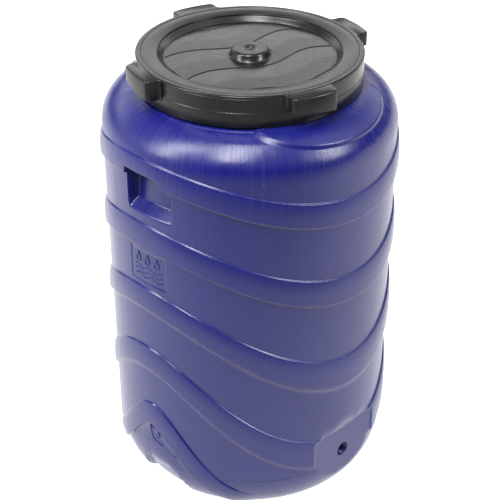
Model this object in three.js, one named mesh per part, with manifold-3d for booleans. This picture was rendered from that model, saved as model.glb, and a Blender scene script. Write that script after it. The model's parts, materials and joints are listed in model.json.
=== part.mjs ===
// Wide-mouth plastic barrel with a screw ring, a dished lid disc and a gasket.
// Millimetres, +Z up, origin at the middle of the foot. The tap pad faces -Y and the
// two hand grips face +X and -X.

import * as THREE from "three";
import { mergeVertices } from "three/addons/utils/BufferGeometryUtils.js";
import Module from "manifold-3d";

const wasm = await Module();
wasm.setup();

// ---- driving dimensions -------------------------------------------------------------

const HEIGHT = 787;            // foot to the top of the screw ring
const WALL_RADIUS = 244.5;     // outside of the wall between the bands
const WALL = 3;                // wall thickness between the bands
const COLUMNS = 48;            // facets round the barrel, ring, lid and gasket

const FOOT = { radius: 186, curveRadial: 58.5, curveHeight: 90, hollowRadius: 150, hollowHeight: 7 };
const SHOULDER = { start: 673, top: 731, radius: 177 };
const NECK = { outer: 172, inner: 166, rim: 776 };

const BAND = { height: 4.5, foot: 5, ledge: 4, crownFall: 8, toe: 6 };

// Each band's lower and upper edge is a wave round the barrel: the terms are the
// mean height and the amounts of cos 2a and cos 4a, with a measured from the grips.
const WAVES = [
  { lower: [169, 98, 12], upper: [221, 91, 10] },
  { lower: [328, 75, 0], upper: [376, 66, 0] },
  { lower: [474, 48, 0], upper: [520, 45, 0] },
  { lower: [610, 34, 0], upper: [651, 31, 0] },
];

// The lowest band is a peak under each grip that runs out into the foot.
const PEAK = {
  lower: { base: 10, rise: 147, width: 22.5, power: 1.7 },
  upper: { base: 32, rise: 168, width: 27, power: 1.8 },
  fadeStart: 35,
  fadeEnd: 50,
};

// Each grip's middle is set towards the tap by its offset along the wall.
const GRIP = { halfWidth: 46, offset: 18.5, lip: 582, floorBack: 596, ceiling: 656, depth: 20 };
const PAD = { plane: 235, halfWidth: 74, sideTop: 144, crown: 154 };
const TAP = { height: 91, radius: 12.2, bossRadius: 21, bossDepth: 12 };

const THREAD = { lead: 24, starts: 2, width: 4, turns: 0.9, flank: 1 };
const NECK_THREAD = { crest: 178, bottom: 743 };

const RING = {
  outer: 184,
  inner: 180,
  opening: 149,
  height: 52,
  flange: 4,
  threadCrest: 174,
  threadClearance: 0.3,
};
// Angles are in degrees, from +X towards +Y.
const LUG = {
  count: 4,
  first: -105,
  radius: 206,
  halfSpan: 10.75,
  height: 27,
  shell: 3.5,
};

const GAP = 0.3;
const GASKET = { inner: 167.5, outer: 171.5, height: 3 };
const LID = {
  rim: 176,
  rimThickness: 3,
  wallTop: 148.3,
  wallFoot: 141,
  floor: 774.5,
  thickness: 3.2,
  knobTop: 31,
  knobFoot: 35,
  dimple: 8,
  dimpleDepth: 2,
};

const COLOURS = { barrel: 0x2b2a86, ring: 0x3a3a3b, lid: 0x424242, gasket: 0x1d1d1e };

// ---- geometry helpers ---------------------------------------------------------------

const degrees = THREE.MathUtils.degToRad;

function positionsOnly(geometry) {
  const bare = geometry.clone();
  bare.deleteAttribute("normal");
  bare.deleteAttribute("uv");
  return mergeVertices(bare, 1e-4);
}

function toSolid(geometry) {
  const merged = positionsOnly(geometry);
  const triVerts = new Uint32Array(merged.index.array);
  const vertProperties = new Float32Array(merged.attributes.position.array);
  return new wasm.Manifold(new wasm.Mesh({ numProp: 3, vertProperties, triVerts }));
}

function toGeometry(solid) {
  const mesh = solid.getMesh();
  const geometry = new THREE.BufferGeometry();
  geometry.setAttribute("position", new THREE.BufferAttribute(mesh.vertProperties, mesh.numProp));
  geometry.setIndex(new THREE.BufferAttribute(mesh.triVerts, 1));
  geometry.computeVertexNormals();
  return geometry;
}

// A closed skin through rows of points. Each row is a function that turns an angle in
// radians into { r, z }, from the bottom row to the top row.
function skin(rows, columns) {
  const points = [];
  const triangles = [];
  for (const row of rows) {
    for (let column = 0; column < columns; column += 1) {
      const angle = (2 * Math.PI * column) / columns;
      const { r, z } = row(angle);
      points.push(r * Math.cos(angle), r * Math.sin(angle), z);
    }
  }
  const bottom = points.length / 3;
  points.push(0, 0, rows[0](0).z);
  const top = bottom + 1;
  points.push(0, 0, rows[rows.length - 1](0).z);
  const lastRow = (rows.length - 1) * columns;
  for (let column = 0; column < columns; column += 1) {
    const next = (column + 1) % columns;
    for (let row = 0; row < rows.length - 1; row += 1) {
      const low = row * columns;
      const high = low + columns;
      triangles.push(low + column, low + next, high + next);
      triangles.push(low + column, high + next, high + column);
    }
    triangles.push(bottom, next, column);
    triangles.push(top, lastRow + column, lastRow + next);
  }
  const geometry = new THREE.BufferGeometry();
  geometry.setAttribute("position", new THREE.Float32BufferAttribute(points, 3));
  geometry.setIndex(triangles);
  return geometry;
}

// A lathe about +Z from a closed list of [r, z] points.
function turned(profile, columns = COLUMNS) {
  const closed = [...profile, profile[0]];
  const points = closed.map(([r, z]) => new THREE.Vector2(r, z));
  return new THREE.LatheGeometry(points, columns).rotateX(Math.PI / 2);
}

function outline(points) {
  return new THREE.Shape(points.map(([x, y]) => new THREE.Vector2(x, y)));
}

function prism(points, depth) {
  return new THREE.ExtrudeGeometry(outline(points), { depth, bevelEnabled: false, curveSegments: 1 });
}

// ---- barrel body --------------------------------------------------------------------

function wave([mean, second, fourth], angle) {
  return mean + second * Math.cos(2 * angle) + fourth * Math.cos(4 * angle);
}

// The angle in degrees from the nearer grip.
function fromGrip(angle) {
  const turn = THREE.MathUtils.euclideanModulo(THREE.MathUtils.radToDeg(angle), 180);
  return Math.min(turn, 180 - turn);
}

function peak({ base, rise, width, power }, angle) {
  return base + rise * Math.exp(-Math.pow(fromGrip(angle) / width, power));
}

function peakStrength(angle) {
  return 1 - THREE.MathUtils.smoothstep(fromGrip(angle), PEAK.fadeStart, PEAK.fadeEnd);
}

// Outside radius of the plain wall, without bands, at a height.
function wallRadius(z, inset = 0) {
  const shoulderRise = THREE.MathUtils.clamp((z - SHOULDER.start) / (SHOULDER.top - SHOULDER.start), 0, 1);
  const footDrop = THREE.MathUtils.clamp((FOOT.curveHeight - z) / FOOT.curveHeight, 0, 1);
  const shoulderSpan = (WALL_RADIUS - SHOULDER.radius) * (1 - Math.sqrt(1 - shoulderRise ** 2));
  const footSpan = FOOT.curveRadial * (1 - Math.sqrt(1 - footDrop ** 2));
  return WALL_RADIUS - shoulderSpan - footSpan - inset;
}

function bandRows(lowerEdge, upperEdge, strength) {
  const lift = (angle) => BAND.height * strength(angle);
  return [
    (angle) => {
      const z = lowerEdge(angle) - BAND.foot;
      return { r: wallRadius(z), z };
    },
    (angle) => {
      const z = lowerEdge(angle) + BAND.ledge;
      return { r: wallRadius(z) + lift(angle), z };
    },
    (angle) => {
      const z = upperEdge(angle) - BAND.crownFall;
      return { r: wallRadius(z) + lift(angle), z };
    },
    (angle) => {
      const z = upperEdge(angle) + BAND.toe;
      return { r: wallRadius(z), z };
    },
  ];
}

// Rows that fill the plain wall between two wavy heights.
function fillRows(lowEdge, highEdge, fractions) {
  return fractions.map((fraction) => (angle) => {
    const z = THREE.MathUtils.lerp(lowEdge(angle), highEdge(angle), fraction);
    return { r: wallRadius(z), z };
  });
}

function level(r, z) {
  return () => ({ r, z });
}

function outerSkin() {
  const peakLower = (angle) => peak(PEAK.lower, angle);
  const peakUpper = (angle) => peak(PEAK.upper, angle);
  const first = WAVES[0];
  const last = WAVES[WAVES.length - 1];
  const rows = [
    level(FOOT.hollowRadius - 8, FOOT.hollowHeight),
    level(FOOT.hollowRadius, 0),
    level(FOOT.radius, 0),
    ...fillRows(() => 0, (angle) => peakLower(angle) - BAND.foot, [0.12, 0.32, 0.62]),
    ...bandRows(peakLower, peakUpper, peakStrength),
    ...fillRows(peakUpper, (angle) => wave(first.lower, angle), [0.35, 0.65]),
  ];
  for (const { lower, upper } of WAVES) {
    rows.push(...bandRows((angle) => wave(lower, angle), (angle) => wave(upper, angle), () => 1));
  }
  const bandTop = (angle) => wave(last.upper, angle) + BAND.toe;
  for (const step of [20, 38, 54, 68, 80, 90]) {
    rows.push((angle) => {
      const z = THREE.MathUtils.lerp(bandTop(angle), SHOULDER.top, Math.sin(degrees(step)));
      return { r: wallRadius(z), z };
    });
  }
  rows.push(level(NECK.outer, SHOULDER.top + 2));
  rows.push(level(NECK.outer, NECK.rim));
  return skin(rows, COLUMNS);
}

function cavitySkin() {
  const floor = FOOT.hollowHeight + WALL;
  const rows = [
    level(FOOT.hollowRadius - 14, floor),
    level(FOOT.hollowRadius + 2, WALL),
    level(FOOT.radius - 3, WALL),
  ];
  for (const z of [10, 28, 55, FOOT.curveHeight, 380, SHOULDER.start]) {
    rows.push(level(wallRadius(z, WALL), z));
  }
  for (const step of [30, 50, 70]) {
    const z = THREE.MathUtils.lerp(SHOULDER.start, SHOULDER.top - WALL, Math.sin(degrees(step)));
    const outside = wallRadius(THREE.MathUtils.lerp(SHOULDER.start, SHOULDER.top, Math.sin(degrees(step))));
    rows.push(level(outside - WALL, z));
  }
  rows.push(level(NECK.inner, SHOULDER.top - WALL));
  rows.push(level(NECK.inner, NECK.rim + 10));
  return skin(rows, COLUMNS);
}

// A hand grip pocket: fingers go in under the ceiling, over the sloping lip. The side is
// 1 for the pocket on +X and -1 for its mirror image on -X.
function gripTool(grow, side) {
  const back = WALL_RADIUS - GRIP.depth - grow;
  const front = WALL_RADIUS + 20;
  const slope = (GRIP.floorBack - GRIP.lip) / GRIP.depth;
  const profile = [
    [back, GRIP.floorBack - grow],
    [front, GRIP.floorBack - grow - slope * (front - back)],
    [front, GRIP.ceiling + grow],
    [back, GRIP.ceiling + grow],
  ];
  const width = 2 * (GRIP.halfWidth + grow);
  const tool = prism(profile, width);
  tool.rotateX(Math.PI / 2);
  tool.translate(0, width / 2 - side * GRIP.offset, 0);
  if (side < 0) tool.rotateZ(Math.PI);
  return tool;
}

// The flat pad for the tap on -Y, under an arched top edge.
function padTool(grow) {
  const side = PAD.halfWidth + grow;
  const chord = PAD.sideTop + grow;
  const points = [
    [-side, -20],
    [side, -20],
  ];
  const steps = 6;
  for (let step = 0; step <= steps; step += 1) {
    const x = side * (1 - (2 * step) / steps);
    points.push([x, chord + (PAD.crown - PAD.sideTop) * (1 - (x / side) ** 2)]);
  }
  const tool = prism(points, 60);
  tool.rotateX(Math.PI / 2);
  tool.translate(0, -(PAD.plane - grow), 0);
  return tool;
}

// A cylinder along Y through the tap position, from one distance off the axis to another.
function tapCylinder(radius, from, to, columns) {
  const cylinder = new THREE.CylinderGeometry(radius, radius, to - from, columns);
  cylinder.translate(0, -(from + to) / 2, TAP.height);
  return cylinder;
}

// A helical ridge of trapezoid section, with its ends tapered into the wall.
function helix({ root, crest, bottom, width, turns }) {
  const segments = Math.round(turns * COLUMNS);
  const points = [];
  const triangles = [];
  for (let step = 0; step <= segments; step += 1) {
    const angle = (2 * Math.PI * step) / COLUMNS;
    const rise = bottom + (THREAD.lead * step) / COLUMNS;
    const taper = THREE.MathUtils.clamp(Math.min(step, segments - step) / 2, 0.3, 1);
    const tip = THREE.MathUtils.lerp(root, crest, taper);
    const section = [
      [root, rise],
      [tip, rise + THREAD.flank],
      [tip, rise + width - THREAD.flank],
      [root, rise + width],
    ];
    for (const [r, z] of section) {
      points.push(r * Math.cos(angle), r * Math.sin(angle), z);
    }
  }
  const outward = crest > root;
  const addFace = (a, b, c) => triangles.push(...(outward ? [a, b, c] : [a, c, b]));
  for (let step = 0; step < segments; step += 1) {
    const here = step * 4;
    const there = here + 4;
    for (let side = 0; side < 4; side += 1) {
      const next = (side + 1) % 4;
      addFace(here + side, there + next, here + next);
      addFace(here + side, there + side, there + next);
    }
  }
  const end = segments * 4;
  addFace(0, 1, 2);
  addFace(0, 2, 3);
  addFace(end, end + 2, end + 1);
  addFace(end, end + 3, end + 2);
  const geometry = new THREE.BufferGeometry();
  geometry.setAttribute("position", new THREE.Float32BufferAttribute(points, 3));
  geometry.setIndex(triangles);
  return geometry;
}

// All starts of a thread joined to a solid.
function addThread(solid, options) {
  let joined = solid;
  for (let start = 0; start < THREAD.starts; start += 1) {
    const ridge = helix({ width: THREAD.width, turns: THREAD.turns, ...options });
    ridge.rotateZ((2 * Math.PI * start) / THREAD.starts);
    joined = joined.add(toSolid(ridge));
  }
  return joined;
}

function barrelBody() {
  let cavity = toSolid(cavitySkin());
  for (const side of [1, -1]) {
    cavity = cavity.subtract(toSolid(gripTool(WALL, side)));
  }
  cavity = cavity.subtract(toSolid(padTool(WALL)));
  const bossBack = PAD.plane - TAP.bossDepth;
  cavity = cavity.subtract(toSolid(tapCylinder(TAP.bossRadius, bossBack, PAD.plane, 24)));

  let body = toSolid(outerSkin()).subtract(cavity);
  for (const side of [1, -1]) {
    body = body.subtract(toSolid(gripTool(0, side)));
  }
  body = body.subtract(toSolid(padTool(0)));
  body = body.subtract(toSolid(tapCylinder(TAP.radius, bossBack - 10, PAD.plane + 10, 24)));
  return addThread(body, { root: NECK.outer - 1, crest: NECK_THREAD.crest, bottom: NECK_THREAD.bottom });
}

// ---- gasket, lid disc and screw ring ------------------------------------------------

const GASKET_FOOT = NECK.rim + GAP;
const RIM_FOOT = GASKET_FOOT + GASKET.height + GAP;
const RIM_TOP = RIM_FOOT + LID.rimThickness;

function gasket() {
  return turned([
    [GASKET.inner, GASKET_FOOT],
    [GASKET.outer, GASKET_FOOT],
    [GASKET.outer, GASKET_FOOT + GASKET.height],
    [GASKET.inner, GASKET_FOOT + GASKET.height],
  ]);
}

function lidDisc() {
  const under = LID.floor - LID.thickness;
  const knobUnder = HEIGHT - LID.thickness;
  const dimpleFloor = HEIGHT - LID.dimpleDepth;
  const points = [
    [0, knobUnder - LID.dimpleDepth],
    [LID.dimple, knobUnder - LID.dimpleDepth],
    [LID.knobTop - LID.thickness, knobUnder],
    [LID.knobFoot - LID.thickness, under],
    [LID.wallFoot + 1.5, under],
    [LID.wallTop + 1, RIM_FOOT],
    [LID.rim, RIM_FOOT],
    [LID.rim, RIM_TOP],
    [LID.wallTop, RIM_TOP],
    [LID.wallTop - 3, LID.floor + 2.5],
    [LID.wallFoot, LID.floor],
    [LID.knobFoot, LID.floor],
    [LID.knobTop, HEIGHT - 1.5],
    [LID.knobTop - 1.5, HEIGHT],
    [LID.dimple, HEIGHT],
    [LID.dimple - 2, dimpleFloor],
    [0, dimpleFloor],
  ].map(([r, z]) => new THREE.Vector2(r, z));
  return new THREE.LatheGeometry(points, COLUMNS).rotateX(Math.PI / 2);
}

// A lug's plan outline about the +X direction, from the skirt to its outer face.
function lugOutline(inner, outer, halfSpan) {
  const half = degrees(halfSpan);
  const steps = 4;
  const arc = (radius, side) => Array.from({ length: steps + 1 }, (_, step) => {
    const angle = side * THREE.MathUtils.lerp(-half, half, step / steps);
    return [radius * Math.cos(angle), radius * Math.sin(angle)];
  });
  return [...arc(outer, 1), ...arc(inner, -1)];
}

function lug() {
  const block = prism(lugOutline(RING.outer - 2, LUG.radius, LUG.halfSpan), LUG.height);
  block.translate(0, 0, HEIGHT - LUG.height);
  return toSolid(block);
}

function lugHollow() {
  const inset = (LUG.halfSpan * (LUG.radius - 2 * LUG.shell)) / LUG.radius;
  const hollow = prism(lugOutline(RING.outer, LUG.radius - LUG.shell, inset), LUG.height);
  hollow.translate(0, 0, HEIGHT - LUG.height - LUG.shell);
  return toSolid(hollow);
}

function screwRing() {
  const bottom = HEIGHT - RING.height;
  const underFlange = HEIGHT - RING.flange;
  let ring = toSolid(turned([
    [RING.inner, bottom],
    [RING.outer, bottom],
    [RING.outer, HEIGHT - 2],
    [RING.outer - 2, HEIGHT],
    [RING.opening + 2, HEIGHT],
    [RING.opening, HEIGHT - 2],
    [RING.opening, underFlange],
    [RING.inner, underFlange],
  ]));
  for (let index = 0; index < LUG.count; index += 1) {
    const turn = LUG.first + (360 * index) / LUG.count;
    ring = ring.add(lug().rotate([0, 0, turn]));
    ring = ring.subtract(lugHollow().rotate([0, 0, turn]));
  }
  const bottomOfRidge = NECK_THREAD.bottom - THREAD.width - RING.threadClearance;
  return addThread(ring, { root: RING.inner + 1, crest: RING.threadCrest, bottom: bottomOfRidge });
}

// ---- assembly -----------------------------------------------------------------------

const group = new THREE.Group();

function add(name, geometry, color, roughness) {
  const material = new THREE.MeshStandardMaterial({ color, roughness, metalness: 0 });
  const mesh = new THREE.Mesh(geometry, material);
  mesh.name = name;
  group.add(mesh);
}

add("barrel_body", toGeometry(barrelBody()), COLOURS.barrel, 0.35);
add("gasket", gasket(), COLOURS.gasket, 0.8);
add("lid_disc", lidDisc(), COLOURS.lid, 0.4);
add("screw_ring", toGeometry(screwRing()), COLOURS.ring, 0.4);

export default group;
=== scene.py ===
"""Looks of a wide-mouth plastic barrel with a screw ring and a dished lid.

Lengths in this script are millimetres and are turned into metres when a mesh is made.
Angles round the barrel start at +X and grow towards +Y, as seen from above.
"""

import json
import math

import bmesh
import bpy
import numpy as np
from mathutils import Matrix, Vector

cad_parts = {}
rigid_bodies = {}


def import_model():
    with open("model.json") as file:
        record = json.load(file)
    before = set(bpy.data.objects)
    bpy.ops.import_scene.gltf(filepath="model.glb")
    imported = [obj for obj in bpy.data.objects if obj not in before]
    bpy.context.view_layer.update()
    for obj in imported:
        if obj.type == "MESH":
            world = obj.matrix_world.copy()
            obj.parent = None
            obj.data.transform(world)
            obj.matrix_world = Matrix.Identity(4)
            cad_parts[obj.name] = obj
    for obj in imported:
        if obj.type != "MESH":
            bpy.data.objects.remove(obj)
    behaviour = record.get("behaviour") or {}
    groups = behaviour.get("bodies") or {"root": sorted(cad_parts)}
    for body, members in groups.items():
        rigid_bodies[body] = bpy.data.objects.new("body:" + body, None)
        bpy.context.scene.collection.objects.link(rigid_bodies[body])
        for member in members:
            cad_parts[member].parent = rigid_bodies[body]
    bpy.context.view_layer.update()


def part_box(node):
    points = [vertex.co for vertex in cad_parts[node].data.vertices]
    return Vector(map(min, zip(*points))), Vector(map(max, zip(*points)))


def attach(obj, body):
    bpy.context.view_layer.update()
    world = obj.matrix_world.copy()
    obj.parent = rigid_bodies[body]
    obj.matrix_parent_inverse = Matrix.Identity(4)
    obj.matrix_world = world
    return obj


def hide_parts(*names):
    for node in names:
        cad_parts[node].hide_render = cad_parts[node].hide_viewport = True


for leftover in list(bpy.data.objects):
    bpy.data.objects.remove(leftover)

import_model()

MM = 0.001


def cad_mm(node, corner, axis):
    """A coordinate of a CAD node's box in millimetres; corner 0 is low and 1 is high."""
    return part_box(node)[corner][axis] / MM


# ---- driving dimensions ---------------------------------------------------------------

TOP = cad_mm("screw_ring", 1, 2)
RING_FOOT = cad_mm("screw_ring", 0, 2)
LUG_RADIUS = 206.0
NECK_RIM = cad_mm("barrel_body", 1, 2)
LID_UNDER = cad_mm("lid_disc", 0, 2)
GASKET_FOOT = cad_mm("gasket", 0, 2)
GASKET_TOP = cad_mm("gasket", 1, 2)
WIDEST = cad_mm("barrel_body", 1, 0)

BAND_HEIGHT = 5.5
WALL_RADIUS = WIDEST - BAND_HEIGHT
WALL = 3.0
FOOT_RADIUS = 186.0
FOOT_CURVE = (58.5, 90.0)
FOOT_HOLLOW = (150.0, 7.0)
SHOULDER_START = 673.0
SHOULDER_TOP = 731.0
SHOULDER_RADIUS = 177.0
NECK_OUTER = 172.0
NECK_INNER = 166.0

# Mean height, and the amounts of cos 2a and cos 4a, of each band's lower and upper edge.
WAVES = [
    ((169, 98, 12), (221, 91, 10)),
    ((328, 75, 0), (376, 66, 0)),
    ((474, 48, 0), (520, 45, 0)),
    ((610, 34, 0), (651, 31, 0)),
]
PEAK_LOWER = {"base": 10, "rise": 147, "width": 22.5, "power": 1.7}
PEAK_UPPER = {"base": 32, "rise": 170, "width": 27.5, "power": 1.9}
PEAK_FADE = (35, 50)
PEAK_SHIFT = 1.6

GRIP_HALF = 46.0
GRIP_OFFSET = 18.5
GRIP_LIP = 582.0
GRIP_FLOOR_BACK = 596.0
GRIP_CEILING = 656.0
GRIP_DEPTH = 20.0
GRIP_LEAN = 6.0
PAD_PLANE = 235.0
PAD_HALF = 74.0
PAD_SIDE_TOP = 144.0
PAD_CROWN = 154.0
TAP_HEIGHT = 91.0
TAP_RADIUS = 12.2

THREAD_LEAD = 24.0
THREAD_TURNS = 0.9
THREAD_WIDTH = 4.0
THREAD_TAPER = 0.18      # radians over which a thread's end fades in
THREAD_ROW = 1.1         # height between two rows of a threaded surface
NECK_THREAD_FOOT = 743.0
NECK_THREAD_DEPTH = 6.0

RING_OUTER = 184.0
RING_INNER = 180.0
RING_OPENING = 149.0
RING_FLANGE = 4.0
LUG_FIRST = -105.0
LUG_COUNT = 4

LID_FLOOR = 774.5
LID_WALL_FOOT = 141.0
RIM_TOP = 782.6
RIM_RADIUS = 176.0
GASKET_INNER = 167.5
GASKET_OUTER = 171.5


# ---- mesh helpers -----------------------------------------------------------------------

def make_object(name, points, faces, smooth=True):
    """A mesh object from points in millimetres."""
    mesh = bpy.data.meshes.new(name)
    mesh.from_pydata((np.asarray(points, float) * MM).tolist(), [], faces)
    mesh.validate()
    mesh.update()
    for polygon in mesh.polygons:
        polygon.use_smooth = smooth
    made = bpy.data.objects.new(name, mesh)
    bpy.context.scene.collection.objects.link(made)
    return made


def place(piece, body, slot, material, *replaced):
    """Gives a piece its body and finish, and hides the CAD nodes that it stands for."""
    piece.data.materials.clear()
    piece.data.materials.append(material)
    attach(piece, body)
    if replaced:
        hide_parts(*replaced)


def ramp(value):
    """Smooth step from 0 to 1 as value goes from 0 to 1."""
    t = np.clip(value, 0, 1)
    return t * t * (3 - 2 * t)


def grid_faces(rows, columns, first=0, flip=False):
    """Quads of a grid that closes on itself round the columns."""
    faces = []
    for row in range(rows - 1):
        low = first + row * columns
        high = low + columns
        for column in range(columns):
            after = (column + 1) % columns
            quad = (low + column, low + after, high + after, high + column)
            faces.append(quad[::-1] if flip else quad)
    return faces


def cylinder_points(radius, angle, height):
    """Stacks of x, y and z from arrays of radius, angle and height."""
    return np.stack([radius * np.cos(angle), radius * np.sin(angle), height], axis=-1)


def closing_faces(rows, columns):
    """Quads that join the last row of a grid to its first row."""
    last = (rows - 1) * columns
    faces = []
    for column in range(columns):
        after = (column + 1) % columns
        faces.append((last + column, last + after, after, column))
    return faces


def turned_points(stack, angle):
    """Points of a stack of (radius, height) levels, each a number or one value per column."""
    flat = np.ones_like(angle)
    return np.concatenate([cylinder_points(r * flat, angle, z * flat) for r, z in stack])


def lathe(name, profile, columns):
    """A turned solid from a closed list of (radius, height) points, listed anticlockwise."""
    angles = np.linspace(0, 2 * np.pi, columns, endpoint=False)
    faces = grid_faces(len(profile), columns) + closing_faces(len(profile), columns)
    return make_object(name, turned_points(profile, angles), faces)


def arc(centre, radius, start, end, steps):
    """Points of a circular arc in (radius, height), with angles in degrees."""
    angles = np.radians(np.linspace(start, end, steps))
    return [(centre[0] + radius * math.cos(a), centre[1] + radius * math.sin(a)) for a in angles]


# ---- barrel wall --------------------------------------------------------------------------

def wave(terms, angle):
    """Height of a wavy edge at an angle."""
    mean, second, fourth = terms
    return mean + second * np.cos(2 * angle) + fourth * np.cos(4 * angle)


def from_grip(angle):
    """Degrees from the nearer hand grip."""
    turn = np.degrees(angle) % 180
    return np.minimum(turn, 180 - turn)


def from_tap(angle):
    """Signed degrees from the nearer of the tap side and the back."""
    return (np.degrees(angle) % 180) - 90


def past_grip(angle):
    """Millimetres round the wall from the nearer grip's axis, positive towards the tap."""
    return -WALL_RADIUS * np.sin(angle)


def peak(shape, angle):
    """Height of one edge of the arch under a grip at an angle."""
    shift = PEAK_SHIFT * np.sign(past_grip(angle)) * (1 - ramp((from_grip(angle) - 40) / 30))
    away = np.abs(from_grip(angle) - shift)
    return shape["base"] + shape["rise"] * np.exp(-((away / shape["width"]) ** shape["power"]))


def wall_radius(z):
    """Outside radius of the plain wall, without bands."""
    shoulder = np.clip((z - SHOULDER_START) / (SHOULDER_TOP - SHOULDER_START), 0, 1)
    foot = np.clip((FOOT_CURVE[1] - z) / FOOT_CURVE[1], 0, 1)
    drop = (WALL_RADIUS - SHOULDER_RADIUS) * (1 - np.sqrt(1 - shoulder**2))
    return WALL_RADIUS - drop - FOOT_CURVE[0] * (1 - np.sqrt(1 - foot**2))


CROWN = 26.0          # height of the rounded upper side of a band
CROWN_POWER = 2.2
LEDGE = (1.0, 1.3)    # chamfered ledge on top of a band, above and below its edge
LEDGE_SHARE = 0.47    # part of a band's height that its ledge makes
STEP = (2.0, 2.8)     # lower side of a band, below and above its edge
STEP_POWER = 2.0      # how fully the lower side rounds into the band's face


def crown_height(lower, upper):
    """Height of a band's rounded upper side, less where the band is narrow."""
    return np.minimum(CROWN, upper - lower - STEP[1] - 1.5)


def band_lift(z, lower, upper):
    """How far a band stands out, from 0 to 1: a ledge, a rounded upper side and a lower step."""
    fall = 1 - np.clip((upper - LEDGE[1] - z) / crown_height(lower, upper), 0, 1)
    ledge = np.clip((upper + LEDGE[0] - z) / (LEDGE[0] + LEDGE[1]), 0, 1)
    step = np.clip((z - lower + STEP[0]) / (STEP[0] + STEP[1]), 0, 1)
    step = 1 - (1 - step) ** STEP_POWER
    return (LEDGE_SHARE * ledge + (1 - LEDGE_SHARE) * (1 - fall**CROWN_POWER)) * step


PETAL_EDGE = (708.0, 23.0)     # height of the petal's edge in its middle, and its rise to the tips
PETAL_HALF_ANGLE = 43.0


def petal_edge(angle):
    """Height of the edge of the raised petal on the shoulder, front and back."""
    return PETAL_EDGE[0] + PETAL_EDGE[1] * (from_tap(angle) / PETAL_HALF_ANGLE) ** 2


def wall_lift(z, angle):
    """Relief of the bands and petals above the plain wall."""
    lift = 0
    for lower, upper in WAVES:
        lift = np.maximum(lift, band_lift(z, wave(lower, angle), wave(upper, angle)))
    fade = 1 - ramp((from_grip(angle) - PEAK_FADE[0]) / (PEAK_FADE[1] - PEAK_FADE[0]))
    lift = np.maximum(lift, fade * band_lift(z, peak(PEAK_LOWER, angle), peak(PEAK_UPPER, angle)))
    return BAND_HEIGHT * lift


COLUMN_STEP = 0.75       # degrees
FINE_STEP = 0.25
LEAST_STEP = 0.15
INNER_SKIP = 4           # the inside has one column for this many outside


def column_angles():
    """Even columns, and closer ones at the sides of the grips, the panels and the pad."""
    angles = set(np.round(np.arange(0, 360, COLUMN_STEP), 4))
    spans = []
    for side in (-1, 1):
        grip_side = math.degrees(math.asin((GRIP_OFFSET + side * GRIP_HALF) / WALL_RADIUS))
        panel_side = math.degrees((PANEL_MIDDLE + side * PANEL_HALF) / WALL_RADIUS)
        spans.append(np.arange(grip_side - 1.5, grip_side + 2.0, FINE_STEP))
        spans.append(panel_side + np.arange(-0.75, 0.76, FINE_STEP))
        angles.update(np.round((270 + side * np.arange(16.0, 19.6, FINE_STEP)) % 360, 4))
    for fine in spans:
        angles.update(np.round((-fine) % 360, 4))
        angles.update(np.round((180 + fine) % 360, 4))
    kept = []
    for angle in sorted(angles):
        if not kept or angle - kept[-1] > LEAST_STEP:
            kept.append(angle)
    while len(kept) % INNER_SKIP:
        kept.pop(int(np.searchsorted(kept, 45)))
    return np.radians(np.array(kept))


# Rows in the plain wall under each band, from the foot up, and in each band's own face.
GAP_ROWS = (14, 9, 9, 40, 44)
FACE_ROWS = (4, 4, 4, 4, 9)
FOOT_CROWDING = 1.7      # how much closer the lowest rows lie towards the floor
STEP_ROWS = 11
CROWN_TURNS = (90, 78, 67, 57, 48, 40, 34)
LEDGE_ROWS = (-2.0, -1.55, -1.15, -0.7, -0.2, 0.35, 0.8, 1.15, 1.5)


def shares(count):
    """Even fractions from 0 up to, but not including, 1."""
    return np.linspace(0, 1, count, endpoint=False)


def between(low, high, fractions):
    return [low + (high - low) * f for f in fractions]


def outer_rows(angle):
    """Heights of the outer surface's rows, from the foot to the shoulder's top."""
    rows = []
    edges = [(peak(PEAK_LOWER, angle), peak(PEAK_UPPER, angle))]
    edges += [(wave(lower, angle), wave(upper, angle)) for lower, upper in WAVES]
    below = np.zeros_like(angle)
    for number, (lower, upper) in enumerate(edges):
        start = lower - STEP[0]
        crown = crown_height(lower, upper)
        gap = shares(GAP_ROWS[number]) ** (FOOT_CROWDING if number == 0 else 1)
        rows += between(below, start, gap)
        rows += between(start, lower + STEP[1], shares(STEP_ROWS))
        rows += between(lower + STEP[1], upper - crown, shares(FACE_ROWS[number]))
        rows += [upper - crown * (1 - math.cos(math.radians(turn))) for turn in CROWN_TURNS]
        rows += [upper + offset for offset in LEDGE_ROWS]
        below = upper + 1.9
    last = rows[-1] + 0.8
    lens = np.minimum(petal_edge(angle), SHOULDER_TOP - 6)
    rows += between(last, lens - 3, shares(9))
    rows += between(lens - 3, lens + 4, shares(7))
    turns = np.radians(np.linspace(0, 90, 18))
    rows += [lens + 4 + (SHOULDER_TOP - lens - 4) * math.sin(turn) for turn in turns]
    return np.array(rows)


PETAL_HEIGHT = 3.5
COLLAR_RADIUS = 189.0
COLLAR_HEIGHT = 1.0
SCOOP_DEPTH = 9.0
SCOOP_TURN = 4.0
SCOOP_HALF_ANGLE = 16.0
SCOOP_HEIGHT = 85.0
GRIP_CORNER = 18.0
GRIP_EDGE = 2.6


def shoulder_relief(z, angle):
    """Petals front and back, and the collar under the screw ring."""
    tips = ramp((43.5 - np.abs(from_tap(angle))) / 2.5)
    petal = PETAL_HEIGHT * ramp((z - petal_edge(angle) + 2.5) / 5.0) * tips
    collar = COLLAR_HEIGHT * ramp((COLLAR_RADIUS - wall_radius(z)) / 3.0) * (z > SHOULDER_START)
    return np.maximum(petal, collar)


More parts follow.
